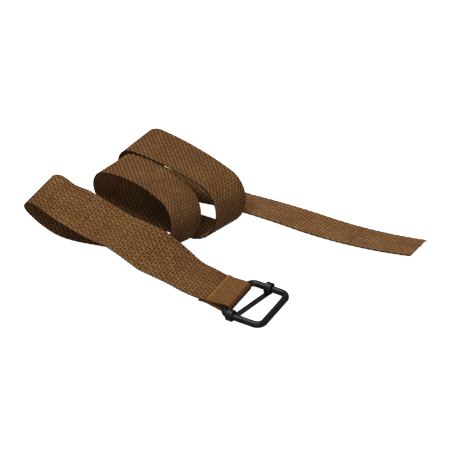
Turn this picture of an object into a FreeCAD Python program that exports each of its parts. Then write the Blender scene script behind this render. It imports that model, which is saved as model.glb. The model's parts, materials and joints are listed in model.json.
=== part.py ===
import FreeCAD, Part
import math
import os

# A gait belt: one length of cotton webbing, wound into a loose coil that lies on a flat surface, with a
# wire frame buckle sewn into one end. Millimetres. +Z is up and Z = 0 is the surface it lies on. +X runs
# along the buckle's rails, away from the webbing, and the turns of the coil lie side by side along Y.

# Webbing
WIDTH = 50.0
THICKNESS = 2.0
SEAM_WIDTH = 48.0
TIP_WIDTH = 45.0
NARROWING = 60.0
TAIL_GAP = 0.3

# Buckle frame
WIRE_R = 3.5
RAIL_SPACING = 59.0
FRAME_LENGTH = 43.0
CORNER_R = 8.0

# Sliding bar
STRIP_WIDTH = 6.2
STRIP_THICKNESS = 1.6
CURL_LENGTH = 7.2
CURL_INNER_R = 4.5
CURL_INSET = 0.55
CURL_LIFT = 0.4
CURL_ARC = 300.0
FRONT_CURL_X = 9.5
BACK_CURL_X = 21.5

# Sewn fold
FOLD_GAP = 0.3
FOLD_TO_SEAM = 22.5
UNDER_LENGTH = 7.0
UNDER_SPLAY = 9.0
LAYER_GAP = 0.1
END_PITCH = 6.2
STITCH_R = 0.45
STITCH_LENGTH = 3.6
STITCH_WIDTH = 2.4
STITCH_PITCH = 3.8
STITCH_COUNT = 11

# The strap from its free end to the seam, as stretches that follow each other. A bend rolls the strap
# round a slanted cylinder. A flat stretch can curve a little, twist about its length and sway sideways.
# Flat: part, steps, length, curve, twist, sway.  Bend: part, steps, radius, angle, slant.  Degrees.
FLAT = "flat"
BEND = "bend"
PATH = [
    (FLAT, "strap_tail", 30, 117.0, 10.5, -3.0, 2.5),
    (FLAT, "strap_tail", 8, 40.0, -3.5, 1.5, 3.0),
    (FLAT, "strap_back_turn", 8, 40.0, -3.5, 1.5, 3.5),
    (FLAT, "strap_back_turn", 30, 93.0, 0.0, -14.0, -5.0),
    (BEND, "strap_back_turn", 36, 28.0, 176.5, -9.0),
    (FLAT, "strap_back_turn", 16, 97.0, 14.0, -7.5, 0.0),
    (BEND, "strap_back_turn", 36, 28.0, 167.5, -6.5),
    (FLAT, "strap_front_turn", 24, 91.0, 10.0, -5.0, 0.0),
    (BEND, "strap_front_turn", 36, 25.0, 157.5, -7.5),
    (FLAT, "strap_front_turn", 16, 85.0, 32.5, -11.0, 0.0),
    (BEND, "strap_front_turn", 36, 28.0, 157.0, -8.5),
    (FLAT, "strap_under_run", 16, 64.0, -0.5, -11.0, 0.0),
    (FLAT, "strap_under_run", 16, 58.0, 18.0, -11.5, 0.0),
    (BEND, "strap_under_run", 36, 19.0, 185.0, -5.5),
    (FLAT, "strap_end_run", 26, 88.0, -30.0, -3.0, 0.0),
    (FLAT, "strap_end_run", 16, 41.0, 21.0, 27.0, 0.0),
    (FLAT, "strap_end_run", 16, 40.0, 19.0, -21.5, 0.0),
    (FLAT, "strap_end_run", 16, 37.0, -22.0, -12.0, 0.0),
]
STATION_EVERY = 3
TAIL_ROWS = 3
STRAP_NAMES = ["strap_tail", "strap_back_turn", "strap_front_turn", "strap_under_run", "strap_end_run"]

# Above the seam the upper layer climbs at this angle to pass over the wire, and the under layer mirrors it
SEAM_LEAN = math.asin((WIRE_R + FOLD_GAP - 0.5 * LAYER_GAP) / FOLD_TO_SEAM)

X_AXIS = FreeCAD.Vector(1.0, 0.0, 0.0)
Y_AXIS = FreeCAD.Vector(0.0, 1.0, 0.0)
Z_AXIS = FreeCAD.Vector(0.0, 0.0, 1.0)
ORIGIN = FreeCAD.Vector(0.0, 0.0, 0.0)


def smooth(t):
    return t * t * (3.0 - 2.0 * t)


def is_bend(stretch):
    return stretch[0] == BEND


def stretch_length(stretch):
    if is_bend(stretch):
        return stretch[3] * math.radians(stretch[4]) / math.cos(math.radians(stretch[5]))
    return stretch[3]


def skew_groups():
    # A run of flat stretches carries the slant of the bend before it smoothly to that of the bend after.
    groups = []
    for index, stretch in enumerate(PATH):
        if is_bend(stretch):
            continue
        if groups and groups[-1][-1] == index - 1 and index != TAIL_ROWS:
            groups[-1].append(index)
        else:
            groups.append([index])
    return groups


def skew_at(index, step):
    # The slant of the cross-section, in degrees, after a number of steps of one stretch.
    if is_bend(PATH[index]):
        return PATH[index][5]
    if index < TAIL_ROWS:
        return 0.0
    group = [g for g in skew_groups() if index in g][0]
    before = PATH[group[0] - 1]
    after = PATH[group[-1] + 1] if group[-1] + 1 < len(PATH) else None
    start = before[5] if is_bend(before) else 0.0
    end = after[5] if after else 0.0
    total = sum(PATH[i][2] for i in group)
    done = sum(PATH[i][2] for i in group if i < index) + step
    return start + (end - start) * smooth(done / total)


def small_turn(x, y, z, share):
    # The rotation for a small vector of angles, in degrees, taken in the strap's own directions.
    vector = FreeCAD.Vector(x, y, z)
    if vector.Length < 1e-9:
        return FreeCAD.Rotation()
    return FreeCAD.Rotation(vector, vector.Length * share)


def march():
    # Stations along the strap. Each has its place (x along the strap, y across it towards the back edge,
    # z out of its outer face), its slant, and the index of its stretch.
    place = FreeCAD.Placement()
    stations = [(place, skew_at(0, 0), 0)]
    for index, stretch in enumerate(PATH):
        steps = stretch[2]
        advance = FreeCAD.Vector(stretch_length(stretch) / steps, 0.0, 0.0)
        turn = stretch[4] / steps
        twist = 0.0 if is_bend(stretch) else stretch[5] / steps
        sway = 0.0 if is_bend(stretch) else stretch[6] / steps
        for step in range(steps):
            skew = math.radians(0.5 * (skew_at(index, step) + skew_at(index, step + 1)))
            half = small_turn(twist + turn * math.sin(skew), turn * math.cos(skew), sway, 0.5)
            middle = place.Rotation.multiply(half)
            base = place.Base + middle.multVec(advance)
            place = FreeCAD.Placement(base, middle.multiply(half))
            stations.append((place, skew_at(index, step + 1), index))
    return stations


def width_at(travel, total):
    # The strap narrows to the seam over its last stretch.
    begin = total - NARROWING
    if travel <= begin:
        return WIDTH
    return WIDTH + (SEAM_WIDTH - WIDTH) * smooth((travel - begin) / NARROWING)


def corners(station, width, shift=0.0):
    # The four corners of the rectangle across the strap at one station.
    place, skew_degrees, index = station
    skew = math.radians(skew_degrees)
    along = place.Rotation.multVec(X_AXIS)
    across = place.Rotation.multVec(Y_AXIS)
    outward = place.Rotation.multVec(Z_AXIS)
    ruling = along * math.sin(skew) + across * math.cos(skew)
    half = ruling * (0.5 * width / math.cos(skew))
    rise = outward * (0.5 * THICKNESS)
    centre = place.Base + along * shift
    return [centre - half - rise, centre + half - rise, centre + half + rise, centre - half + rise]


def ruled_face(first, second):
    # The surface swept by a straight line between two splines that share their knots.
    surface = Part.BSplineSurface()
    poles = [list(pair) for pair in zip(first.getPoles(), second.getPoles())]
    surface.buildFromPolesMultsKnots(poles, first.getMultiplicities(), [2, 2], first.getKnots(), [0.0, 1.0],
                                     False, False, first.Degree, 1)
    return surface.toShape()


def strap_solid(rows, travel):
    # Four smooth edges through the corners of the rows, ruled faces between them and a flat cap at each end.
    splines = []
    for corner in range(4):
        spline = Part.BSplineCurve()
        spline.interpolate(Points=[row[corner] for row in rows], Parameters=travel)
        splines.append(spline)
    faces = [ruled_face(splines[k], splines[(k + 1) % 4]) for k in range(4)]
    for row in (rows[0], rows[-1]):
        faces.append(Part.Face(Part.makePolygon(row + [row[0]])))
    shell = Part.Shell(faces)
    shell.sewShape()
    solid = Part.Solid(shell)
    if solid.Volume < 0.0:
        solid.reverse()
    return solid


def strap_parts(stations):
    # One smooth solid for each named part of the strap.
    travel = [0.0]
    for first, second in zip(stations, stations[1:]):
        travel.append(travel[-1] + (second[0].Base - first[0].Base).Length)
    shapes = {}
    for name in STRAP_NAMES:
        rows = [i for i, stretch in enumerate(PATH) if stretch[1] == name]
        first = sum(stretch[2] for stretch in PATH[:rows[0]])
        last = sum(stretch[2] for stretch in PATH[:rows[-1] + 1])
        picks = list(range(first, last - 1, STATION_EVERY)) + [last]
        shift = -TAIL_GAP if name == "strap_tail" else 0.0
        picked = [corners(stations[i], width_at(travel[i], travel[-1]), shift) for i in picks]
        shapes[name] = strap_solid(picked, [travel[i] for i in picks])
    return shapes, travel[-1]


def turned(x, z, angle):
    # A point turned about the hinge line, angle in degrees from +X towards +Z.
    a = math.radians(angle)
    return (x * math.cos(a) - z * math.sin(a), x * math.sin(a) + z * math.cos(a))


def fold_solid():
    # The webbing comes in over the fixed bar, wraps it and returns underneath to the seam and a bit more.
    inner = WIRE_R + FOLD_GAP
    outer = inner + THICKNESS
    side = 90.0 + math.degrees(SEAM_LEAN)
    top_in = turned(inner, 0.0, side)
    top_out = turned(outer, 0.0, side)
    low_in = (top_in[0], -top_in[1])
    low_out = (top_out[0], -top_out[1])
    seam_in = (-FOLD_TO_SEAM, 0.5 * LAYER_GAP)
    seam_out = (-FOLD_TO_SEAM, 0.5 * LAYER_GAP + THICKNESS)
    splay = math.tan(math.radians(UNDER_SPLAY)) * UNDER_LENGTH
    end_in = (-FOLD_TO_SEAM - UNDER_LENGTH, -0.5 * LAYER_GAP - splay)
    end_out = (end_in[0], end_in[1] - THICKNESS)

    def point(pair):
        return FreeCAD.Vector(pair[0], -0.5 * SEAM_WIDTH, pair[1])

    edges = [
        Part.LineSegment(point(seam_out), point(top_out)).toShape(),
        Part.Arc(point(top_out), point((outer, 0.0)), point(low_out)).toShape(),
        Part.LineSegment(point(low_out), point((seam_out[0], -seam_out[1]))).toShape(),
        Part.LineSegment(point((seam_out[0], -seam_out[1])), point(end_out)).toShape(),
        Part.LineSegment(point(end_out), point(end_in)).toShape(),
        Part.LineSegment(point(end_in), point((seam_in[0], -seam_in[1]))).toShape(),
        Part.LineSegment(point((seam_in[0], -seam_in[1])), point(low_in)).toShape(),
        Part.Arc(point(low_in), point((inner, 0.0)), point(top_in)).toShape(),
        Part.LineSegment(point(top_in), point(seam_in)).toShape(),
        Part.LineSegment(point(seam_in), point(seam_out)).toShape(),
    ]
    solid = Part.Face(Part.Wire(edges)).extrude(Y_AXIS * SEAM_WIDTH)
    far = -FOLD_TO_SEAM - 2.0 * UNDER_LENGTH
    outline = [(far, -0.5 * SEAM_WIDTH), (-FOLD_TO_SEAM, -0.5 * SEAM_WIDTH), (0.0, -0.5 * TIP_WIDTH),
               (2.0 * outer, -0.5 * TIP_WIDTH), (2.0 * outer, 0.5 * TIP_WIDTH), (0.0, 0.5 * TIP_WIDTH),
               (-FOLD_TO_SEAM, 0.5 * SEAM_WIDTH), (far, 0.5 * SEAM_WIDTH)]
    corners = [FreeCAD.Vector(x, y, -2.0 * outer) for x, y in outline]
    taper = Part.Face(Part.makePolygon(corners + [corners[0]])).extrude(Z_AXIS * (4.0 * outer))
    return solid.common(taper)


def thread_run(start, end):
    # A straight run of thread with round ends.
    axis = end - start
    body = Part.makeCylinder(STITCH_R, axis.Length, start, axis)
    return body.fuse([Part.makeSphere(STITCH_R, start), Part.makeSphere(STITCH_R, end)])


def stitches():
    # Crossed stitches through both layers of the fold, just on the buckle's side of the seam line.
    from_seam = 0.5 * STITCH_LENGTH + 2.0 * STITCH_R
    centre_x = -FOLD_TO_SEAM + from_seam
    rise = math.tan(SEAM_LEAN)
    top = 0.5 * LAYER_GAP + THICKNESS + rise * from_seam
    half_x = 0.5 * STITCH_LENGTH
    half_y = 0.5 * STITCH_WIDTH
    threads = []
    for number in range(STITCH_COUNT):
        y = (number - 0.5 * (STITCH_COUNT - 1)) * STITCH_PITCH
        pieces = []
        for side in (1.0, -1.0):
            for slant in (1.0, -1.0):
                low = side * (top - rise * half_x)
                high = side * (top + rise * half_x)
                start = FreeCAD.Vector(centre_x - half_x, y - slant * half_y, low)
                end = FreeCAD.Vector(centre_x + half_x, y + slant * half_y, high)
                pieces.append(thread_run(start, end))
        for end_x in (-1.0, 1.0):
            for end_y in (-1.0, 1.0):
                level = top + end_x * rise * half_x
                foot = FreeCAD.Vector(centre_x + end_x * half_x, y + end_y * half_y, -level)
                head = FreeCAD.Vector(foot.x, foot.y, level)
                pieces.append(thread_run(foot, head))
        threads.append(pieces[0].fuse(pieces[1:]))
    return Part.makeCompound(threads)


def frame_solid():
    # Round wire bent into a closed rectangle with rounded corners, fixed bar along the hinge line.
    half = 0.5 * RAIL_SPACING
    near = CORNER_R
    far = FRAME_LENGTH - CORNER_R
    side = half - CORNER_R
    rail = far - near
    bar = 2.0 * side
    pieces = [
        Part.makeCylinder(WIRE_R, bar, FreeCAD.Vector(0.0, -side, 0.0), Y_AXIS),
        Part.makeCylinder(WIRE_R, bar, FreeCAD.Vector(FRAME_LENGTH, -side, 0.0), Y_AXIS),
        Part.makeCylinder(WIRE_R, rail, FreeCAD.Vector(near, -half, 0.0), X_AXIS),
        Part.makeCylinder(WIRE_R, rail, FreeCAD.Vector(near, half, 0.0), X_AXIS),
    ]
    for x, y, start in ((near, -side, 180.0), (far, -side, 270.0), (far, side, 0.0), (near, side, 90.0)):
        corner = Part.makeTorus(CORNER_R, WIRE_R, ORIGIN, Z_AXIS, -180.0, 180.0, 90.0)
        corner.rotate(ORIGIN, Z_AXIS, start)
        corner.translate(FreeCAD.Vector(x, y, 0.0))
        pieces.append(corner)
    return pieces[0].fuse(pieces[1:]).removeSplitter()


def curl(x, y, side):
    # One end of the sliding bar, curled from under the rail round its outside and over the top.
    outer = CURL_INNER_R + STRIP_THICKNESS
    centre = FreeCAD.Vector(x - 0.5 * CURL_LENGTH, y - side * CURL_INSET, CURL_LIFT)
    ring = Part.makeCylinder(outer, CURL_LENGTH, centre, X_AXIS)
    ring = ring.cut(Part.makeCylinder(CURL_INNER_R, CURL_LENGTH, centre, X_AXIS))
    reach = 2.0 * outer
    open_angle = math.radians(360.0 - CURL_ARC)
    corners = [FreeCAD.Vector(centre.x, centre.y, centre.z),
               FreeCAD.Vector(centre.x, centre.y, centre.z - reach),
               FreeCAD.Vector(centre.x, centre.y - side * reach * math.sin(open_angle),
                              centre.z - reach * math.cos(open_angle))]
    wedge = Part.Face(Part.makePolygon(corners + [corners[0]])).extrude(X_AXIS * CURL_LENGTH)
    return ring.cut(wedge)


def bar_solid():
    # A flat strip that runs under the opening from rail to rail, a little askew, with both ends curled.
    level = CURL_LIFT - CURL_INNER_R - STRIP_THICKNESS
    end_y = 0.5 * RAIL_SPACING - CURL_INSET
    slant = math.atan2(BACK_CURL_X - FRONT_CURL_X, 2.0 * end_y)
    half = 0.5 * STRIP_WIDTH / math.cos(slant)
    corners = [FreeCAD.Vector(FRONT_CURL_X - half, -end_y, level),
               FreeCAD.Vector(FRONT_CURL_X + half, -end_y, level),
               FreeCAD.Vector(BACK_CURL_X + half, end_y, level),
               FreeCAD.Vector(BACK_CURL_X - half, end_y, level)]
    strip = Part.Face(Part.makePolygon(corners + [corners[0]])).extrude(Z_AXIS * STRIP_THICKNESS)
    front = curl(FRONT_CURL_X, -0.5 * RAIL_SPACING, -1.0)
    back = curl(BACK_CURL_X, 0.5 * RAIL_SPACING, 1.0)
    return strip.fuse([front, back]).removeSplitter()


def tight_box(shape):
    return shape.optimalBoundingBox(False, False)


def save(shape, node):
    shape.exportStep("parts/" + node + ".step")
    box = tight_box(shape)
    print(node, shape.isValid(), len(shape.Solids), round(shape.Volume, 1),
          [round(v, 1) for v in (box.XMin, box.YMin, box.ZMin, box.XMax, box.YMax, box.ZMax)])


# The strap is marched from its free end, then carried as a whole so that its sewn end meets the fold,
# which is level from side to side and pitched down towards the hinge line of the buckle.
pitch = FreeCAD.Rotation(Y_AXIS, END_PITCH)
seam_point = FreeCAD.Vector(-FOLD_TO_SEAM, 0.0, 0.5 * (LAYER_GAP + THICKNESS))
seam_place = FreeCAD.Placement(pitch.multVec(seam_point), pitch)
free_stations = march()
carry = seam_place.multiply(free_stations[-1][0].inverse())
stations = [(carry.multiply(place), skew, index) for place, skew, index in free_stations]
shapes, strap_length = strap_parts(stations)

fold = fold_solid()
fold.rotate(ORIGIN, Y_AXIS, END_PITCH)
shapes["strap_fold"] = fold
thread = stitches()
thread.rotate(ORIGIN, Y_AXIS, END_PITCH)
shapes["seam_thread"] = thread

# The buckle slopes down from the hinge line until its outer bar or its sliding bar touches the surface.
floor = min(tight_box(shape).ZMin for shape in shapes.values())
frame_slope = math.degrees(math.asin((-floor - WIRE_R) / FRAME_LENGTH))
bar_depth = CURL_INNER_R + STRIP_THICKNESS - CURL_LIFT
bar_reach = BACK_CURL_X + 0.5 * CURL_LENGTH
bar_angle = math.atan2(bar_depth, bar_reach)
bar_slope = math.degrees(math.asin(-floor / math.hypot(bar_reach, bar_depth)) - bar_angle)
frame_slope = min(frame_slope, bar_slope)
for node, solid in (("buckle_frame", frame_solid()), ("slide_bar", bar_solid())):
    solid.rotate(ORIGIN, Y_AXIS, frame_slope)
    shapes[node] = solid

# The origin is the middle of the object's footprint.
whole = tight_box(Part.makeCompound(list(shapes.values())))
shift = FreeCAD.Vector(-0.5 * (whole.XMin + whole.XMax), -0.5 * (whole.YMin + whole.YMax), -floor)

os.makedirs("parts", exist_ok=True)
for node, shape in shapes.items():
    shape.translate(shift)
    save(shape, node)

root = sum(stretch[2] for stretch in PATH if stretch[1] == "strap_tail")
root_place, root_skew, root_index = stations[root]
root_ruling = FreeCAD.Vector(math.sin(math.radians(root_skew)), math.cos(math.radians(root_skew)), 0.0)
root_axis = root_place.Rotation.multVec(root_ruling)
root_point = root_place.Base - root_place.Rotation.multVec(Z_AXIS) * (0.5 * THICKNESS) + shift
whole = tight_box(Part.makeCompound(list(shapes.values())))
print("strap length", round(strap_length, 1), "frame slope", round(frame_slope, 3))
print("hinge of the buckle", [round(v, 3) for v in shift])
print("root of the tail", [round(v, 3) for v in root_point], "axis", [round(v, 4) for v in root_axis])
print("whole", [round(v, 2) for v in (whole.XMin, whole.YMin, whole.ZMin, whole.XMax, whole.YMax, whole.ZMax)])
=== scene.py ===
import math

import bpy
import numpy as np
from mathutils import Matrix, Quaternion, Vector
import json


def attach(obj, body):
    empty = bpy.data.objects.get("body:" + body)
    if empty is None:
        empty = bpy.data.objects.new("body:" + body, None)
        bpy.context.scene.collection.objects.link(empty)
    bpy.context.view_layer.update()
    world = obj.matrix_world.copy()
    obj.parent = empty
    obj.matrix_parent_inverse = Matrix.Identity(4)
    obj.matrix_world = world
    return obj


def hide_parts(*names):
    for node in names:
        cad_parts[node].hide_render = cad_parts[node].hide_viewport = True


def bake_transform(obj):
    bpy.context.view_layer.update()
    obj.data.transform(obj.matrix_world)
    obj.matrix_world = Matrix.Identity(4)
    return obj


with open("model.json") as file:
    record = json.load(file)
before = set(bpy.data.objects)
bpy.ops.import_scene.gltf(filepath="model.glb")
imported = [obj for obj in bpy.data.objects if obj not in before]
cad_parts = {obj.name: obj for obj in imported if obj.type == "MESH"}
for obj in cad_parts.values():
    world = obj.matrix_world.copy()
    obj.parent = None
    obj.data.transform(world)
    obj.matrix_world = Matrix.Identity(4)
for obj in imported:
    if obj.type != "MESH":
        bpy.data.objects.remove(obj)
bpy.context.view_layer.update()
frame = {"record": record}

# Lengths below are in millimetres unless they say otherwise, and become metres when a mesh is made.
METRES = 0.001

# Webbing, as in the CAD part
WIDTH = 50.0
THICKNESS = 2.0
SEAM_WIDTH = 48.0
TIP_WIDTH = 45.0
NARROWING = 60.0
FLAT = "flat"
BEND = "bend"
# Flat: part, steps, length, curve, twist, sway.  Bend: part, steps, radius, angle, slant.  Degrees.
PATH = [
    (FLAT, "strap_tail", 30, 117.0, 10.5, -3.0, 2.5),
    (FLAT, "strap_tail", 8, 40.0, -3.5, 1.5, 3.0),
    (FLAT, "strap_back_turn", 8, 40.0, -3.5, 1.5, 3.5),
    (FLAT, "strap_back_turn", 30, 93.0, 0.0, -14.0, -5.0),
    (BEND, "strap_back_turn", 36, 28.0, 176.5, -9.0),
    (FLAT, "strap_back_turn", 16, 97.0, 14.0, -7.5, 0.0),
    (BEND, "strap_back_turn", 36, 28.0, 167.5, -6.5),
    (FLAT, "strap_front_turn", 24, 91.0, 10.0, -5.0, 0.0),
    (BEND, "strap_front_turn", 36, 25.0, 157.5, -7.5),
    (FLAT, "strap_front_turn", 16, 85.0, 32.5, -11.0, 0.0),
    (BEND, "strap_front_turn", 36, 28.0, 157.0, -8.5),
    (FLAT, "strap_under_run", 16, 64.0, -0.5, -11.0, 0.0),
    (FLAT, "strap_under_run", 16, 58.0, 18.0, -11.5, 0.0),
    (BEND, "strap_under_run", 36, 19.0, 185.0, -5.5),
    (FLAT, "strap_end_run", 26, 88.0, -30.0, -3.0, 0.0),
    (FLAT, "strap_end_run", 16, 41.0, 21.0, 27.0, 0.0),
    (FLAT, "strap_end_run", 16, 40.0, 19.0, -21.5, 0.0),
    (FLAT, "strap_end_run", 16, 37.0, -22.0, -12.0, 0.0),
]
TAIL_ROWS = 3
STRAP_NAMES = ["strap_tail", "strap_back_turn", "strap_front_turn", "strap_under_run", "strap_end_run"]
END_PITCH = 6.2

# Sewn fold, as in the CAD part
WIRE_R = 3.5
FOLD_GAP = 0.3
FOLD_TO_SEAM = 22.5
UNDER_LENGTH = 7.0
UNDER_SPLAY = 9.0
LAYER_GAP = 0.1
SEAM_LEAN = math.asin((WIRE_R + FOLD_GAP - 0.5 * LAYER_GAP) / FOLD_TO_SEAM)
STITCH_LENGTH = 3.6
STITCH_WIDTH = 2.4
STITCH_PITCH = 3.8
STITCH_COUNT = 11
STITCH_R = 0.45

# Sewn fold, as seen only here. Loops of thread finish the seam at its back edge.
FOLD_SMOOTHING = 12
# Painted shade on the fold's rounded tip begins this share of the wire's radius past the bar's middle.
TIP_SHADE_START = 0.2
THREAD_R = 0.6
STITCH_BULGE = 1.3
LOOP_COUNT = 4
LOOP_POINTS = 19
LOOP_TURNS = (-0.35, 1.35)
LOOP_LEAD = 1.5
LOOP_PITCH = 1.1
LOOP_SWAY = 0.5
LOOP_INSET = 1.0
LOOP_REACH = 1.9
LOOP_RISE = 0.3
LOOP_DROP = 0.2
LOOP_THINNING = 0.9

# Buckle, as in the CAD part
RAIL_SPACING = 59.0
FRAME_LENGTH = 43.0
CORNER_R = 8.0
STRIP_WIDTH = 6.2
STRIP_THICKNESS = 1.6
CURL_LENGTH = 7.2
CURL_INNER_R = 4.5
CURL_INSET = 0.55
CURL_LIFT = 0.4
CURL_ARC = 300.0
FRONT_CURL_X = 9.5
BACK_CURL_X = 21.5

# Buckle, as seen only here: the wire's unevenness, as height and rate, and the strip's edge
WIRE_STEP = 0.7
WIRE_SIDES = 40
WIRE_WAVES = ((0.03, 0.11), (0.02, 0.37))
BAR_CORNER = 0.85
BAR_BEAD = 0.16
BEAD_WIDTH = 0.22
FLARE_LENGTH = 6.0

# Weave: columns of crossings along the strap. Gaps lie between columns, staggered from one to the next,
# and a diagonal furrow joins them, as in a twill. Every second column line is cut a little deeper.
COLUMNS = 20
CELL_PITCH = 3.4
GAP_LENGTH = 1.85
GAP_WIDTH = 0.64
GAP_LEAN = 12.0
GAP_JITTER = 0.7
GAP_DRIFT = 0.3
GAP_LEAST = 0.8
GAP_SPREAD = 0.4
GAP_SHARE = 0.92
SHALLOW = 0.42
TWILL_SHARE = 0.38
PAIR_SHARE = 0.2
CROSS_SHARE = 0.16
INNER_CODE = 57.0

# Weave over the last stretch before the seam: deeper gaps and pairs, and weaker diagonal furrows
END_LENGTH = 250.0
END_GAP = 0.1
END_TWILL = 0.4
END_PAIR = 0.4

# Where the cloth leaves the CAD run: the end run's back edge, then the under run's front edge. The first
# makes the end run's cloth cut up to 0.77 mm into the front turn's, near (-25, -50, 37).
BACK_EDGE_SHIFT = (0.0, 0.0, 8.0)
BACK_EDGE_POWER = 0.85
BACK_EDGE_EASE = 0.15
LOOP_EDGE_SHIFT = (4.5, 0.0, 7.0)
LOOP_EDGE_CENTRE = 0.71
LOOP_EDGE_SPREAD = 0.12

# The cloth's relief, its edges and how finely it is meshed. The relief fades towards the selvedge's edge.
RELIEF = 0.85
CROWN = 0.2
# EDGE_FADE also darkens the selvedges with painted shade, through the weave's height that the material
# reads.
EDGE_FADE = 0.6
SELVEDGE = 1.3
SCALLOP = 0.5
SCALLOP_LEAST = 0.3
SCALLOP_SPREAD = 0.7
ROW_STEP = 0.75
FACE_COLUMNS = 82
EDGE_STEPS = 6

# The tail bends over this length before its root. Yarn ends stand out of its free end, and the last few,
# at the back corner, make a tuft that hooks round.
YARN_ROOT = 1.2
YARN_MARGIN = 1.6
YARN_LEAST = 0.7
YARN_SPREAD = 1.3
YARN_LIFT = 1.2
YARN_ROOT_LIFT = 0.6
YARN_DRIFT = 1.4
YARN_R = 0.5
YARN_THINNING = 0.28
TUFT_YARNS = 4
TUFT_REACH = 2.6
TUFT_HOOK = 2.2

# Webbing's yarns and colour. The inner face is multiplied by INNER_FADE, and the fold's rounded tip by
# the last tint, a painted shade where the tip turns away from the light.
PLY_PITCH = 0.95
PLY_SLANT = -0.42
FIBRE_WANDER = 1.6
PATCH_SHARE = 0.7
TINT_SHARE = 0.3
INNER_FADE = (1.36, 1.42, 1.65)
TIP_SHADE_TINT = (0.5, 0.38, 0.34)

joints = {joint["name"]: joint for joint in frame["record"]["behaviour"]["joints"]}


# ---------------------------------------------------------------- the strap's path

def smooth(t):
    return t * t * (3.0 - 2.0 * t)


def is_bend(stretch):
    return stretch[0] == BEND


def stretch_length(stretch):
    if is_bend(stretch):
        return stretch[3] * math.radians(stretch[4]) / math.cos(math.radians(stretch[5]))
    return stretch[3]


def skew_groups():
    # A run of flat stretches carries the slant of the bend before it smoothly to that of the bend after.
    groups = []
    for index, stretch in enumerate(PATH):
        if is_bend(stretch):
            continue
        if groups and groups[-1][-1] == index - 1 and index != TAIL_ROWS:
            groups[-1].append(index)
        else:
            groups.append([index])
    return groups


def skew_at(index, step):
    # The slant of the cross-section, in degrees, after a number of steps of one stretch.
    if is_bend(PATH[index]):
        return PATH[index][5]
    if index < TAIL_ROWS:
        return 0.0
    group = [g for g in skew_groups() if index in g][0]
    before = PATH[group[0] - 1]
    after = PATH[group[-1] + 1] if group[-1] + 1 < len(PATH) else None
    start = before[5] if is_bend(before) else 0.0
    end = after[5] if after else 0.0
    total = sum(PATH[i][2] for i in group)
    done = sum(PATH[i][2] for i in group if i < index) + step
    return start + (end - start) * smooth(done / total)


def small_turn(x, y, z, share):
    # The rotation for a small vector of angles, in degrees, taken in the strap's own directions.
    vector = Vector((x, y, z))
    if vector.length < 1e-9:
        return Quaternion()
    return Quaternion(vector.normalized(), math.radians(vector.length * share))


def march():
    # Stations along the strap: place, rotation (x along, y across, z out of the outer face) and slant.
    place = Vector((0.0, 0.0, 0.0))
    turning = Quaternion()
    stations = [(place, turning, skew_at(0, 0))]
    for index, stretch in enumerate(PATH):
        steps = stretch[2]
        advance = Vector((stretch_length(stretch) / steps, 0.0, 0.0))
        turn = stretch[4] / steps
        twist = 0.0 if is_bend(stretch) else stretch[5] / steps
        sway = 0.0 if is_bend(stretch) else stretch[6] / steps
        for step in range(steps):
            skew = math.radians(0.5 * (skew_at(index, step) + skew_at(index, step + 1)))
            half = small_turn(twist + turn * math.sin(skew), turn * math.cos(skew), sway, 0.5)
            middle = turning @ half
            place = place + middle @ advance
            turning = middle @ half
            stations.append((place, turning, skew_at(index, step + 1)))
    return stations


def carried(stations):
    # The whole chain carried so that its sewn end meets the fold at the buckle.
    pitch = Quaternion((0.0, 1.0, 0.0), math.radians(END_PITCH))
    seam = pitch @ Vector((-FOLD_TO_SEAM, 0.0, 0.5 * (LAYER_GAP + THICKNESS)))
    hinge = Vector(joints["buckle_swing"]["pos_m"]) / METRES
    end_place, end_turning = stations[-1][:2]
    carry = pitch @ end_turning.inverted()
    return [(hinge + seam + carry @ (place - end_place), carry @ turning, skew)
            for place, turning, skew in stations]


def hermite(values, travel, wanted):
    # A smooth curve through values at the travelled lengths, read at the wanted lengths.
    slopes = np.gradient(values, travel, axis=0)
    index = np.clip(np.searchsorted(travel, wanted, side="right") - 1, 0, len(travel) - 2)
    span = (travel[index + 1] - travel[index])[:, None]
    t = (wanted - travel[index])[:, None] / span
    first, last = values[index], values[index + 1]
    return ((2 * t**3 - 3 * t**2 + 1) * first + (t**3 - 2 * t**2 + t) * span * slopes[index]
            + (3 * t**2 - 2 * t**3) * last + (t**3 - t**2) * span * slopes[index + 1])


def strap_rows(stations, travel, wanted):
    # Centre, ruling (the line across, with its lean along the strap) and outward, for each wanted length.
    centres = np.array([tuple(place) for place, turning, skew in stations])
    axes = [np.array([tuple(turning @ Vector(unit)) for place, turning, skew in stations])
            for unit in ((1.0, 0.0, 0.0), (0.0, 1.0, 0.0), (0.0, 0.0, 1.0))]
    skews = np.array([[math.tan(math.radians(skew))] for place, turning, skew in stations])
    centre = hermite(centres, travel, wanted)
    along, across, outward = [hermite(axis, travel, wanted) for axis in axes]
    lean = hermite(skews, travel, wanted)
    rulings = across + along * lean
    return centre, rulings, outward


def width_at(travel, total):
    # The strap narrows to the seam over its last stretch.
    share = np.clip((travel - (total - NARROWING)) / NARROWING, 0.0, 1.0)
    return WIDTH + (SEAM_WIDTH - WIDTH) * smooth(share)


# ---------------------------------------------------------------- weave

def scatter(a, b, seed):
    # An even random number from 0 to 1 for each pair of whole numbers. The large numbers only scramble.
    value = np.sin(a * 127.1 + b * 311.7 + seed * 74.7) * 43758.5453
    return value - np.floor(value)


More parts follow.
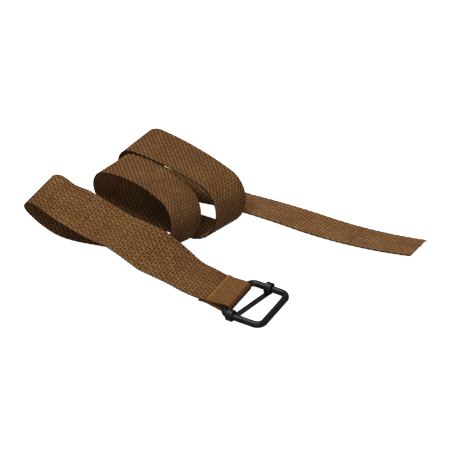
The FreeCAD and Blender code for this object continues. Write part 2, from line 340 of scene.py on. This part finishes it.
def weave(travel, column, side):
    # Height from 0 in a gap to 1 on a crown, and the random tint of the crossing, at a length and a
    # column. The faces differ in hand, and in random numbers by INNER_CODE.
    pitch = WIDTH / COLUMNS
    outer = np.where(side > 0.0, 1.0, 0.0)
    hand = 2.0 * outer - 1.0
    lean = hand * math.radians(GAP_LEAN)
    code = INNER_CODE * (1.0 - outer)
    gap = np.zeros(travel.shape)
    nearest = np.round(column)
    for line in (nearest, nearest + np.where(column > nearest, 1.0, -1.0)):
        repeat = np.round(travel / CELL_PITCH)
        shallow = np.mod(repeat + line, 2.0)
        chance = code + line
        jitter = GAP_JITTER * (scatter(chance, repeat, 1.0) - 0.5)
        away = travel - repeat * CELL_PITCH - jitter
        beside = (column - line) * pitch - GAP_DRIFT * (scatter(chance, repeat, 2.0) - 0.5)
        lengthwise = away * np.cos(lean) + beside * np.sin(lean)
        sideways = beside * np.cos(lean) - away * np.sin(lean)
        well = np.exp(-(lengthwise / GAP_LENGTH)**2 - (sideways / GAP_WIDTH)**2)
        fullness = GAP_LEAST + GAP_SPREAD * scatter(chance, repeat, 3.0)
        strength = (1.0 - SHALLOW * shallow) * fullness
        gap = np.maximum(gap, well * strength)
    diagonal = 0.5 + 0.5 * np.cos(math.pi * (hand * travel / CELL_PITCH + column))
    paired = np.exp(-((np.mod(column + 1.0, 2.0) - 1.0) * pitch / GAP_WIDTH)**2)
    crossing = 0.5 + 0.5 * np.cos(2.0 * math.pi * travel / CELL_PITCH)
    calm = smooth(np.clip((travel - total + END_LENGTH) / NARROWING, 0.0, 1.0))
    depth = ((GAP_SHARE + END_GAP * calm) * gap + TWILL_SHARE * (1.0 - END_TWILL * calm) * diagonal
             + PAIR_SHARE * (1.0 + END_PAIR * calm) * paired + CROSS_SHARE * crossing)
    tint = scatter(code + np.floor(column), np.floor(travel / CELL_PITCH), 5.0)
    return 1.0 - np.clip(depth, 0.0, 1.0), tint


def section_steps():
    # Round the strap's cross-section once: outer face, back selvedge, inner face, front selvedge. Each
    # step has its place across (-1 to 1 on the faces), how far it is into the selvedge, and its outward
    # level.
    steps = []
    face = np.linspace(-1.0, 1.0, FACE_COLUMNS)
    turn = [math.pi * (k + 1) / (EDGE_STEPS + 1) for k in range(EDGE_STEPS)]
    steps += [(x, 0.0, 1.0) for x in face]
    steps += [(1.0, math.sin(a), math.cos(a)) for a in turn]
    steps += [(x, 0.0, -1.0) for x in face[::-1]]
    steps += [(-1.0, -math.sin(a), -math.cos(a)) for a in turn]
    return np.array(steps)


def woven_mesh(name, centre, rulings, outward, widths, lengths, painted_shade=None):
    # A closed woven strip round a centre line, with its weave as real relief and as attributes. A painted
    # shade, from 0 to 1, may be given along it.
    steps = section_steps()
    across, edge, level = steps[:, 0][None, :], steps[:, 1][None, :], steps[:, 2][None, :]
    travel = lengths[:, None] + 0.0 * across
    half = 0.5 * widths[:, None]
    place = across * (half - SELVEDGE) + edge * SELVEDGE
    side = np.where(level >= 0.0, 1.0, -1.0) + 0.0 * travel
    column = (place / half * 0.5 + 0.5) * COLUMNS
    height, tint = weave(travel, column, side)
    rounding = np.abs(edge)
    tooth = np.floor(travel / CELL_PITCH)
    size = SCALLOP * (SCALLOP_LEAST + SCALLOP_SPREAD * scatter(tooth, 0.0, 6.0))
    scallop = size * np.cos(2.0 * math.pi * travel / CELL_PITCH)
    lift = CROWN - RELIEF * (1.0 - height)
    thick = 0.5 * THICKNESS + lift * (1.0 - EDGE_FADE * rounding)
    place = place + np.sign(edge) * rounding * scallop
    points = (centre[:, None, :] + rulings[:, None, :] * place[..., None]
              + outward[:, None, :] * (level * thick)[..., None])
    mesh_object = ring_mesh(name, points)
    # The material paints shade from this height: dark in the weave's gaps and along the rounded
    # selvedges.
    put(mesh_object, "depth", "FLOAT", height * (1.0 - EDGE_FADE * rounding))
    put(mesh_object, "tint", "FLOAT", tint)
    spot = np.stack([travel, place, side], axis=-1)
    put(mesh_object, "spot", "FLOAT_VECTOR", spot)
    shade_share = np.zeros(len(lengths)) if painted_shade is None else painted_shade
    put(mesh_object, "painted_shade", "FLOAT", shade_share[:, None] + 0.0 * place)
    return mesh_object


# ---------------------------------------------------------------- meshes

def ring_mesh(name, points, closed=False):
    # A tube through rings of points in millimetres, with flat ends unless it closes on itself.
    rings, count = points.shape[:2]
    ring = np.arange(rings if closed else rings - 1)
    step = np.arange(count)
    a = ring[:, None] * count + step[None, :]
    b = ring[:, None] * count + (step[None, :] + 1) % count
    rise = np.where(ring == rings - 1, -(rings - 1), 1)[:, None] * count
    faces = np.stack([a, b, b + rise, a + rise], axis=-1).reshape(-1, 4).tolist()
    if not closed:
        faces.append(list(range(count - 1, -1, -1)))
        faces.append(list(range((rings - 1) * count, rings * count)))
    mesh = bpy.data.meshes.new(name)
    mesh.from_pydata((points.reshape(-1, 3) * METRES).tolist(), [], faces)
    mesh.update()
    mesh.polygons.foreach_set("use_smooth", np.ones(len(mesh.polygons), bool))
    if not closed:
        ends = np.empty(len(mesh.edges) * 2, np.int64)
        mesh.edges.foreach_get("vertices", ends)
        ends = ends.reshape(-1, 2)
        sharp = (ends < count).all(axis=1) | (ends >= (rings - 1) * count).all(axis=1)
        mark = mesh.attributes.new("sharp_edge", "BOOLEAN", "EDGE")
        mark.data.foreach_set("value", sharp)
    made = bpy.data.objects.new(name, mesh)
    bpy.context.scene.collection.objects.link(made)
    if volume(mesh) < 0.0:
        mesh.flip_normals()
    return made


def volume(mesh):
    # Signed volume, to tell whether the faces look outwards.
    co = np.empty(len(mesh.vertices) * 3)
    mesh.vertices.foreach_get("co", co)
    co = co.reshape(-1, 3)
    mesh.calc_loop_triangles()
    tri = np.empty(len(mesh.loop_triangles) * 3, np.int64)
    mesh.loop_triangles.foreach_get("vertices", tri)
    a, b, c = co[tri.reshape(-1, 3)].transpose(1, 0, 2)
    return float(np.einsum("ij,ij->i", a, np.cross(b, c)).sum())


def put(made, name, kind, values):
    # A per-point attribute for the material to read.
    attribute = made.data.attributes.new(name, kind, "POINT")
    field = "vector" if kind == "FLOAT_VECTOR" else "value"
    attribute.data.foreach_set(field, np.ascontiguousarray(values, np.float32).ravel())


def joined(name, parts):
    # Several meshes as one piece.
    mesh = parts[0].data
    with bpy.context.temp_override(active_object=parts[0], selected_editable_objects=parts):
        bpy.ops.object.join()
    parts[0].name = name
    mesh.name = name
    return parts[0]


def tube(name, path, radii, sides, closed=False):
    # A round tube along a path of points, with its own radius at each.
    if closed:
        tangents = np.roll(path, -1, axis=0) - np.roll(path, 1, axis=0)
    else:
        tangents = np.gradient(path, axis=0)
    tangents /= np.linalg.norm(tangents, axis=1)[:, None]
    reference = np.array([0.0, 0.0, 1.0])
    if abs(tangents[:, 2]).max() > 0.9:
        reference = np.array([1.0, 0.31, 0.0]) / math.hypot(1.0, 0.31)
    first = np.cross(tangents, reference)
    first /= np.linalg.norm(first, axis=1)[:, None]
    second = np.cross(first, tangents)
    angle = 2.0 * math.pi * np.arange(sides) / sides
    points = (path[:, None, :] + radii[:, None, None] * (first[:, None, :] * np.cos(angle)[None, :, None]
              + second[:, None, :] * np.sin(angle)[None, :, None]))
    return ring_mesh(name, points, closed)


# ---------------------------------------------------------------- materials

def new_material(name):
    material = bpy.data.materials.new(name)
    material.use_nodes = True
    nodes = material.node_tree.nodes
    return material, nodes, material.node_tree.links, nodes["Principled BSDF"]


def math_node(nodes, links, operation, first, second=None):
    node = nodes.new("ShaderNodeMath")
    node.operation = operation
    for socket, value in zip(node.inputs, (first, second)):
        if value is None:
            continue
        if isinstance(value, float):
            socket.default_value = value
        else:
            links.new(value, socket)
    return node.outputs[0]


def mix_colour(nodes, links, factor, first, second, blend="MIX"):
    node = nodes.new("ShaderNodeMix")
    node.data_type = "RGBA"
    node.blend_type = blend
    for socket, value in ((node.inputs[0], factor), (node.inputs[6], first), (node.inputs[7], second)):
        if isinstance(value, float):
            socket.default_value = value
        elif isinstance(value, tuple):
            socket.default_value = value + (1.0,)
        else:
            links.new(value, socket)
    return node.outputs[2]


def ramp(nodes, links, factor, stops):
    node = nodes.new("ShaderNodeValToRGB")
    elements = node.color_ramp.elements
    while len(elements) < len(stops):
        elements.new(0.5)
    for element, (position, colour) in zip(elements, stops):
        element.position = position
        element.color = colour + (1.0,)
    links.new(factor, node.inputs[0])
    return node.outputs[0]


def noise(nodes, links, vector, scale, detail=2.0):
    node = nodes.new("ShaderNodeTexNoise")
    node.inputs["Scale"].default_value = scale
    node.inputs["Detail"].default_value = detail
    links.new(vector, node.inputs["Vector"])
    return node.outputs["Fac"]


def attribute_node(nodes, name):
    node = nodes.new("ShaderNodeAttribute")
    node.attribute_name = name
    return node


def bump(nodes, links, height, strength, distance, shader):
    node = nodes.new("ShaderNodeBump")
    node.inputs["Strength"].default_value = strength
    node.inputs["Distance"].default_value = distance
    links.new(height, node.inputs["Height"])
    links.new(node.outputs[0], shader.inputs["Normal"])


def webbing_material(name, gap, tints, ply):
    # Woven cotton: a painted shade in the gaps between cells and along the selvedges, a tint for each
    # cell, slanted plies along it and loose fibres. The gap colour is that painted shade.
    material, nodes, links, shader = new_material(name)
    spot = attribute_node(nodes, "spot").outputs["Vector"]
    depth = attribute_node(nodes, "depth").outputs["Fac"]
    tint = attribute_node(nodes, "tint").outputs["Fac"]
    split = nodes.new("ShaderNodeSeparateXYZ")
    links.new(spot, split.inputs[0])
    along, across, side = split.outputs
    slant = math_node(nodes, links, "MULTIPLY", side, PLY_SLANT)
    drift = math_node(nodes, links, "MULTIPLY", along, slant)
    line = math_node(nodes, links, "SUBTRACT", across, drift)
    fibres = noise(nodes, links, spot, 0.9, 4.0)
    wander = math_node(nodes, links, "MULTIPLY", fibres, FIBRE_WANDER)
    turns = math_node(nodes, links, "MULTIPLY", line, 2.0 * math.pi / PLY_PITCH)
    wave = math_node(nodes, links, "SINE", math_node(nodes, links, "ADD", turns, wander))
    plies = math_node(nodes, links, "ADD", math_node(nodes, links, "MULTIPLY", wave, 0.5), 0.5)
    patch = noise(nodes, links, spot, 0.035, 2.0)
    blotch = math_node(nodes, links, "ADD", math_node(nodes, links, "MULTIPLY", patch, PATCH_SHARE),
                       math_node(nodes, links, "MULTIPLY", tint, TINT_SHARE))
    colour = ramp(nodes, links, blotch, tints)
    dark = mix_colour(nodes, links, 1.0, colour, (ply, ply, ply), "MULTIPLY")
    colour = mix_colour(nodes, links, plies, dark, colour)
    grey = ramp(nodes, links, fibres, [(0.25, (0.72, 0.72, 0.72)), (0.75, (1.2, 1.2, 1.2))])
    colour = mix_colour(nodes, links, 1.0, colour, grey, "MULTIPLY")
    inner = math_node(nodes, links, "MULTIPLY", math_node(nodes, links, "SUBTRACT", side, 1.0), -0.5)
    faded = mix_colour(nodes, links, 1.0, colour, INNER_FADE, "MULTIPLY")
    colour = mix_colour(nodes, links, inner, colour, faded)
    # Painted shade: cloth darkened where the fold's rounded tip turns away from the light.
    painted_shade = attribute_node(nodes, "painted_shade").outputs["Fac"]
    shaded = mix_colour(nodes, links, 1.0, colour, TIP_SHADE_TINT, "MULTIPLY")
    colour = mix_colour(nodes, links, painted_shade, colour, shaded)
    # Painted shade: the cloth turns to the gap colour where the weave sinks and along the selvedges.
    gap_shade_mask = ramp(nodes, links, depth, [(0.15, (0.0, 0.0, 0.0)), (0.8, (1.0, 1.0, 1.0))])
    colour = mix_colour(nodes, links, gap_shade_mask, gap, colour)
    links.new(colour, shader.inputs["Base Color"])
    shader.inputs["Roughness"].default_value = 0.88
    shader.inputs["Specular IOR Level"].default_value = 0.12
    shader.inputs["Sheen Weight"].default_value = 0.03
    shader.inputs["Sheen Roughness"].default_value = 0.5
    relief = math_node(nodes, links, "ADD", plies, fibres)
    bump(nodes, links, relief, 0.6, 0.00018, shader)
    return material


def thread_material(name, light, dark):
    # Sewing thread: twisted plies that run round the stitch.
    material, nodes, links, shader = new_material(name)
    place = nodes.new("ShaderNodeTexCoord").outputs["Object"]
    wave = nodes.new("ShaderNodeTexWave")
    wave.bands_direction = "DIAGONAL"
    wave.inputs["Scale"].default_value = 900.0
    wave.inputs["Distortion"].default_value = 1.5
    links.new(place, wave.inputs["Vector"])
    colour = ramp(nodes, links, wave.outputs["Fac"], [(0.1, dark), (0.7, light)])
    links.new(colour, shader.inputs["Base Color"])
    shader.inputs["Roughness"].default_value = 0.75
    bump(nodes, links, wave.outputs["Fac"], 0.5, 0.0002, shader)
    return material


def paint_material(name):
    # Black satin paint on metal, with a faint orange peel and duller rubbed patches.
    material, nodes, links, shader = new_material(name)
    place = nodes.new("ShaderNodeTexCoord").outputs["Object"]
    patches = noise(nodes, links, place, 160.0, 3.0)
    peel = noise(nodes, links, place, 900.0, 2.0)
    colour = ramp(nodes, links, patches, [(0.3, (0.003, 0.003, 0.004)), (0.75, (0.006, 0.006, 0.008))])
    gloss = ramp(nodes, links, patches, [(0.3, (0.36, 0.36, 0.36)), (0.7, (0.5, 0.5, 0.5))])
    links.new(colour, shader.inputs["Base Color"])
    links.new(gloss, shader.inputs["Roughness"])
    shader.inputs["Specular IOR Level"].default_value = 0.27
    bump(nodes, links, peel, 0.12, 0.0003, shader)
    return material


def floor_material():
    material, nodes, links, shader = new_material("pale_floor")
    shader.inputs["Base Color"].default_value = (0.9, 0.9, 0.9, 1.0)
    shader.inputs["Roughness"].default_value = 0.9
    shader.inputs["Emission Color"].default_value = (1.0, 1.0, 1.0, 1.0)
    shader.inputs["Emission Strength"].default_value = 1.0
    return material


# Each webbing's first colour is the painted shade of its weave's gaps and selvedges.
webbing = webbing_material(
    "webbing", (0.02, 0.008, 0.003),
    [(0.22, (0.23, 0.09, 0.024)), (0.5, (0.31, 0.14, 0.042)), (0.78, (0.41, 0.2, 0.058))], 0.5)
fold_cloth = webbing_material(
    "fold_cloth", (0.085, 0.034, 0.01),
    [(0.22, (0.21, 0.086, 0.022)), (0.5, (0.28, 0.13, 0.037)), (0.78, (0.35, 0.17, 0.05))], 0.45)
thread_gold = thread_material("thread_gold", (0.36, 0.165, 0.045), (0.2, 0.085, 0.02))
yarn = thread_material("yarn_ends", (0.26, 0.12, 0.038), (0.11, 0.045, 0.014))
paint = paint_material("black_paint")


# ---------------------------------------------------------------- strap pieces

stations = carried(march())
centres = np.array([tuple(place) for place, turning, skew in stations])
travel = np.concatenate([[0.0], np.cumsum(np.linalg.norm(np.diff(centres, axis=0), axis=1))])
total = travel[-1]


def part_span(name):
    rows = [i for i, stretch in enumerate(PATH) if stretch[1] == name]
    first = sum(stretch[2] for stretch in PATH[:rows[0]])
    last = sum(stretch[2] for stretch in PATH[:rows[-1] + 1])
    return travel[first], travel[last]


def eased(node, centre, rulings, share):
    # The cloth settles a little off the plain CAD run, which share runs along from 0 to 1. The end run's
    # back edge rises by the left loop and sinks towards the seam. The under run's front edge is drawn up
    # and in where it turns over.
    if node == "strap_end_run":
        ease_in = smooth(np.clip(share / BACK_EDGE_EASE, 0.0, 1.0))
        ease_out = smooth(np.clip((1.0 - share) / BACK_EDGE_EASE, 0.0, 1.0))
        wave = np.sin(2.0 * math.pi * share**BACK_EDGE_POWER)
        back_shift = np.outer(wave * (ease_in * ease_out), BACK_EDGE_SHIFT)
        front_shift = np.zeros(centre.shape)
    elif node == "strap_under_run":
        back_shift = np.zeros(centre.shape)
        swell = np.exp(-((share - LOOP_EDGE_CENTRE) / LOOP_EDGE_SPREAD)**2)
        front_shift = np.outer(swell, LOOP_EDGE_SHIFT)
    else:
        return centre, rulings
    front = centre - rulings * (0.5 * WIDTH) + front_shift
    reach = centre + rulings * (0.5 * WIDTH) + back_shift - front
    middle = front + 0.5 * reach
    return middle, reach * (np.linalg.norm(rulings, axis=1) / np.linalg.norm(reach, axis=1))[:, None]


def strap_piece(node):
    start, end = part_span(node)
    lengths = np.linspace(start, end, int((end - start) / ROW_STEP) + 1)
    centre, rulings = strap_rows(stations, travel, lengths)[:2]
    centre, rulings = eased(node, centre, rulings, (lengths - start) / (end - start))
    outward = np.cross(np.gradient(centre, axis=0), rulings)
    outward /= np.linalg.norm(outward, axis=1)[:, None]
    made = woven_mesh(node + "_cloth", centre, rulings, outward, width_at(lengths, total), lengths)
    made.data.materials.append(webbing)
    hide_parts(node)
    return made


for node in STRAP_NAMES[1:]:
    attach(strap_piece(node), "strap")

tail = strap_piece("strap_tail")
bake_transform(tail)


def frayed_end():
    # Cut yarn ends along the free end, with a longer loose tuft that hooks round at the back corner.
    centre, rulings, outward = strap_rows(stations, travel, np.array([0.0, 4.0]))
    back = (centre[0] - centre[1]) / np.linalg.norm(centre[0] - centre[1])
    parts = []
    count = 2 * COLUMNS
    for number in range(count):
        place = (number + 0.5) / count - 0.5
        reach = YARN_LEAST + YARN_SPREAD * float(scatter(number, 1.0, 7.0))
        lift = (float(scatter(number, 2.0, 7.0)) - 0.5) * YARN_LIFT
        drift = (float(scatter(number, 3.0, 7.0)) - 0.5) * YARN_DRIFT
        hook = max(0.0, number - (count - TUFT_YARNS - 1)) / TUFT_YARNS
        t = np.linspace(0.0, 1.0, 7)[:, None]
        start = (centre[0] + rulings[0] * (place * (WIDTH - YARN_MARGIN)) - back * YARN_ROOT
                 + outward[0] * lift * YARN_ROOT_LIFT)
        path = (start + back * (YARN_ROOT + reach + TUFT_REACH * hook) * t + outward[0] * lift * t**2
                + rulings[0] * (drift + TUFT_HOOK * hook) * t**2)
        radii = YARN_R - YARN_THINNING * t[:, 0]**2
        parts.append(tube("yarn", path, radii, 6))
    return joined("tail_yarn_ends", parts)


yarn_ends = frayed_end()
yarn_ends.data.materials.append(yarn)
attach(yarn_ends, "tail")


# ---------------------------------------------------------------- sewn fold

def about_hinge(points, pitch):
    # Points given round the fixed bar, with x pitched down, carried to where the bar is.
    hinge = np.array(joints["buckle_swing"]["pos_m"]) / METRES
    x, y, z = np.moveaxis(np.asarray(points, float), -1, 0)
    turned = np.stack([x * math.cos(pitch) + z * math.sin(pitch), y,
                       -x * math.sin(pitch) + z * math.cos(pitch)], axis=-1)
    return turned + hinge


def in_fold(points):
    return about_hinge(points, math.radians(END_PITCH))


def even(points, step):
    # The same line with points at even steps along it, and their lengths along it.
    lengths = np.concatenate([[0.0], np.cumsum(np.linalg.norm(np.diff(points, axis=0), axis=1))])
    wanted = np.linspace(0.0, lengths[-1], int(lengths[-1] / step) + 1)
    placed = [np.interp(wanted, lengths, points[:, k]) for k in range(points.shape[1])]
    return np.stack(placed, axis=1), wanted


def fold_line():
    # The middle of the cloth in the fold's own X and Z: over the bar, round it and back under the seam.
    middle_r = WIRE_R + FOLD_GAP + 0.5 * THICKNESS
    level = 0.5 * (LAYER_GAP + THICKNESS)
    start = 0.5 * math.pi + SEAM_LEAN
    angles = np.linspace(start, -start, 60)
    arc = np.stack([middle_r * np.cos(angles), middle_r * np.sin(angles)], axis=1)
    tip = (-FOLD_TO_SEAM - UNDER_LENGTH, -level - UNDER_LENGTH * math.tan(math.radians(UNDER_SPLAY)))
    line = np.vstack([[(-FOLD_TO_SEAM, level)], arc, [(-FOLD_TO_SEAM, -level), tip]])
    line = even(line, 0.5 * ROW_STEP)[0]
    for _ in range(FOLD_SMOOTHING):
        line[1:-1] = 0.25 * line[:-2] + 0.5 * line[1:-1] + 0.25 * line[2:]
    return even(line, 0.8 * ROW_STEP)


line, lengths = fold_line()
zero = np.zeros(len(line))
centre = in_fold(np.stack([line[:, 0], zero, line[:, 1]], axis=1))
slope = np.gradient(line, axis=0)
slope /= np.linalg.norm(slope, axis=1)[:, None]
outward = in_fold(np.stack([-slope[:, 1], zero, slope[:, 0]], axis=1)) - in_fold([0.0, 0.0, 0.0])
rulings = np.tile([0.0, 1.0, 0.0], (len(line), 1))
share = np.clip((line[:, 0] + FOLD_TO_SEAM) / FOLD_TO_SEAM, 0.0, 1.0)
widths = SEAM_WIDTH + (TIP_WIDTH - SEAM_WIDTH) * share
# Painted shade over the fold's rounded tip, where it turns away from the light.
tip_shade = smooth(np.clip((line[:, 0] - TIP_SHADE_START * WIRE_R) / WIRE_R, 0.0, 1.0))
fold = woven_mesh("strap_fold_cloth", centre, rulings, outward, widths, total + lengths, tip_shade)
fold.data.materials.append(fold_cloth)
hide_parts("strap_fold")
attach(fold, "strap")


def stitch_run(name, start, end, bulge):
    # A stitch that rises out of the cloth, bows over and sinks back in.
    t = np.linspace(0.0, 1.0, 13)[:, None]
    rise = bulge * np.sin(math.pi * t) - 0.5 * bulge
    path = start + (end - start) * t + np.array([0.0, 0.0, 1.0]) * rise
    radii = THREAD_R * (0.6 + 0.4 * np.sin(math.pi * t[:, 0])**0.5)
    return tube(name, in_fold(path), radii, 8)


def seam_threads():
    # A row of crossed stitches on both faces, with finishing loops at the back edge.
    from_seam = 0.5 * STITCH_LENGTH + 2.0 * STITCH_R
    centre_x = -FOLD_TO_SEAM + from_seam
    rise = math.tan(SEAM_LEAN)
    top = 0.5 * LAYER_GAP + THICKNESS + rise * from_seam
    parts = []
    for number in range(STITCH_COUNT):
        y = (number - 0.5 * (STITCH_COUNT - 1)) * STITCH_PITCH
        for side in (1.0, -1.0):
            for slant in (1.0, -1.0):
                start = np.array([centre_x - 0.5 * STITCH_LENGTH, y - slant * 0.5 * STITCH_WIDTH,
                                  side * (top - 0.5 * rise * STITCH_LENGTH)])
                end = np.array([centre_x + 0.5 * STITCH_LENGTH, y + slant * 0.5 * STITCH_WIDTH,
                                side * (top + 0.5 * rise * STITCH_LENGTH)])
                parts.append(stitch_run("stitch", start, end, side * STITCH_BULGE))
    turn = np.linspace(LOOP_TURNS[0] * math.pi, LOOP_TURNS[1] * math.pi, LOOP_POINTS)
    for number in range(LOOP_COUNT):
        x = centre_x - LOOP_LEAD + LOOP_PITCH * number
        loop = np.stack([x + LOOP_SWAY * np.cos(2.0 * turn),
                         0.5 * SEAM_WIDTH - LOOP_INSET + LOOP_REACH * np.sin(turn),
                         (top + LOOP_RISE - LOOP_DROP * number) * np.cos(turn)], axis=1)
        parts.append(tube("loop", in_fold(loop), np.full(LOOP_POINTS, THREAD_R * LOOP_THINNING), 8))
    return joined("seam_stitches", parts)


threads = seam_threads()
threads.data.materials.append(thread_gold)
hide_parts("seam_thread")
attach(threads, "strap")


# ---------------------------------------------------------------- buckle

def in_buckle(points):
    axis = joints["bar_slide"]["axis"]
    return about_hinge(points, math.atan2(-axis[2], axis[0]))


def wire_path():
    # Round the frame once, from the fixed bar, with an arc at each corner.
    half = 0.5 * RAIL_SPACING
    side = half - CORNER_R
    points = []
    for x, y, start in ((CORNER_R, -side, 180.0), (FRAME_LENGTH - CORNER_R, -side, 270.0),
                        (FRAME_LENGTH - CORNER_R, side, 0.0), (CORNER_R, side, 90.0)):
        for angle in np.radians(np.linspace(start, start + 90.0, 19)):
            points.append((x + CORNER_R * math.cos(angle), y + CORNER_R * math.sin(angle)))
    points.append(points[0])
    path = even(np.array(points), WIRE_STEP)[0]
    return np.column_stack([path[:-1], np.zeros(len(path) - 1)])


path = wire_path()
order = np.arange(len(path))
radii = np.full(len(path), WIRE_R)
for height, rate in WIRE_WAVES:
    radii = radii + height * np.sin(order * rate)
wire = tube("buckle_wire", in_buckle(path), radii, WIRE_SIDES, closed=True)
wire.data.materials.append(paint)
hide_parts("buckle_frame")
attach(wire, "frame")


def bar_line():
    # The middle of the strip in the buckle's own directions: front curl, straight run, back curl.
    radius = CURL_INNER_R + 0.5 * STRIP_THICKNESS
    reach = 0.5 * RAIL_SPACING - CURL_INSET
    points = []
    for angle in np.radians(np.linspace(270.0 - CURL_ARC, 270.0, 90)):
        y = -reach + radius * math.cos(angle)
        points.append((FRONT_CURL_X, y, CURL_LIFT + radius * math.sin(angle)))
    for share in np.linspace(0.0, 1.0, 80)[1:-1]:
        x = FRONT_CURL_X + (BACK_CURL_X - FRONT_CURL_X) * share
        points.append((x, reach * (2.0 * share - 1.0), CURL_LIFT - radius))
    for angle in np.radians(np.linspace(-90.0, CURL_ARC - 90.0, 90)):
        y = reach + radius * math.cos(angle)
        points.append((BACK_CURL_X, y, CURL_LIFT + radius * math.sin(angle)))
    return np.array(points)


def bar_mesh():
    # A rounded strip whose edges stand a little proud where it is curled.
    points = bar_line()
    slope = np.gradient(points[:, 1:], axis=0)
    slope /= np.linalg.norm(slope, axis=1)[:, None]
    normal = np.stack([np.zeros(len(points)), slope[:, 1], -slope[:, 0]], axis=1)
    straight = np.abs(points[:, 1]) < 0.5 * RAIL_SPACING - CURL_INSET - 0.01
    low = points[:, 2] < CURL_LIFT - CURL_INNER_R
    inward = np.clip((0.5 * RAIL_SPACING - np.abs(points[:, 1])) / FLARE_LENGTH, 0.0, 1.0)
    share = np.where(straight & low, smooth(inward), 0.0)
    slant = math.atan2(BACK_CURL_X - FRONT_CURL_X, RAIL_SPACING)
    half = 0.5 * CURL_LENGTH + (0.5 * STRIP_WIDTH / math.cos(slant) - 0.5 * CURL_LENGTH) * share
    corner = BAR_CORNER
    rings = []
    for k in range(len(points)):
        ring = []
        bead = BAR_BEAD * (1.0 - share[k])
        flat = np.linspace(-1.0, 1.0, 13)
        for sign in (1.0, -1.0):
            for t in flat * sign:
                ridge = bead * np.exp(-((1.0 - abs(t)) / BEAD_WIDTH)**2) if sign > 0.0 else 0.0
                ring.append((t * (half[k] - corner), sign * 0.5 * STRIP_THICKNESS + ridge))
            for a in (0.25, 0.5, 0.75):
                angle = math.pi * a
                ring.append((sign * (half[k] - corner + corner * math.sin(angle)),
                             sign * 0.5 * STRIP_THICKNESS * math.cos(angle)))
        rings.append([points[k] + np.array([u, 0.0, 0.0]) + normal[k] * v for u, v in ring])
    return ring_mesh("sliding_bar", in_buckle(np.array(rings)))


bar = bar_mesh()
bar.data.materials.append(paint)
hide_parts("slide_bar")
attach(bar, "bar")


# ---------------------------------------------------------------- floor, light and camera

# Lengths from here on are in metres, apart from the sensor's width, which is in millimetres.
FLOOR_SIZE = 6.0
FLOOR_LEVEL = -0.0006
WORLD_STRENGTH = 0.24
SENSOR_WIDTH = 36.0
VIEW_AZIMUTH = math.radians(28.46)
VIEW_ELEVATION = math.radians(35.52)
VIEW_TARGET = Vector((-0.00847, 0.03581, 0.00121))
VIEW_DISTANCE = 3.95
VIEW_WIDTH = 0.4586


def make_floor():
    half = 0.5 * FLOOR_SIZE
    mesh = bpy.data.meshes.new("floor")
    corners = [(-half, -half), (half, -half), (half, half), (-half, half)]
    mesh.from_pydata([(x, y, FLOOR_LEVEL) for x, y in corners], [], [(0, 1, 2, 3)])
    floor = bpy.data.objects.new("floor", mesh)
    bpy.context.scene.collection.objects.link(floor)
    floor.data.materials.append(floor_material())
    floor.visible_diffuse = False
    floor.visible_glossy = False


def area_light(name, place, size, power, target=(0.0, 0.0, 0.03)):
    light = bpy.data.lights.new(name, "AREA")
    light.shape = "DISK"
    light.size = size
    light.energy = power
    made = bpy.data.objects.new(name, light)
    made.location = place
    made.rotation_euler = (Vector(target) - Vector(place)).to_track_quat("-Z", "Y").to_euler()
    bpy.context.scene.collection.objects.link(made)


make_floor()
area_light("key", (-0.35, -0.2, 1.85), 1.4, 38.0)
area_light("fill", (0.9, -1.9, 0.9), 1.6, 15.0)

world = bpy.data.worlds.new("studio")
world.use_nodes = True
world.node_tree.nodes["Background"].inputs[0].default_value = (1.0, 1.0, 1.0, 1.0)
world.node_tree.nodes["Background"].inputs[1].default_value = WORLD_STRENGTH
bpy.context.scene.world = world
bpy.context.scene.view_settings.view_transform = "Standard"

camera_data = bpy.data.cameras.new("camera")
camera_data.sensor_width = SENSOR_WIDTH
camera_data.lens = SENSOR_WIDTH * VIEW_DISTANCE / VIEW_WIDTH
camera_data.clip_end = 30.0
camera = bpy.data.objects.new("camera", camera_data)
forward = Vector((-math.sin(VIEW_AZIMUTH) * math.cos(VIEW_ELEVATION),
                  math.cos(VIEW_AZIMUTH) * math.cos(VIEW_ELEVATION), -math.sin(VIEW_ELEVATION)))
camera.location = VIEW_TARGET - forward * VIEW_DISTANCE
camera.rotation_euler = forward.to_track_quat("-Z", "Y").to_euler()
bpy.context.scene.collection.objects.link(camera)
bpy.context.scene.camera = camera
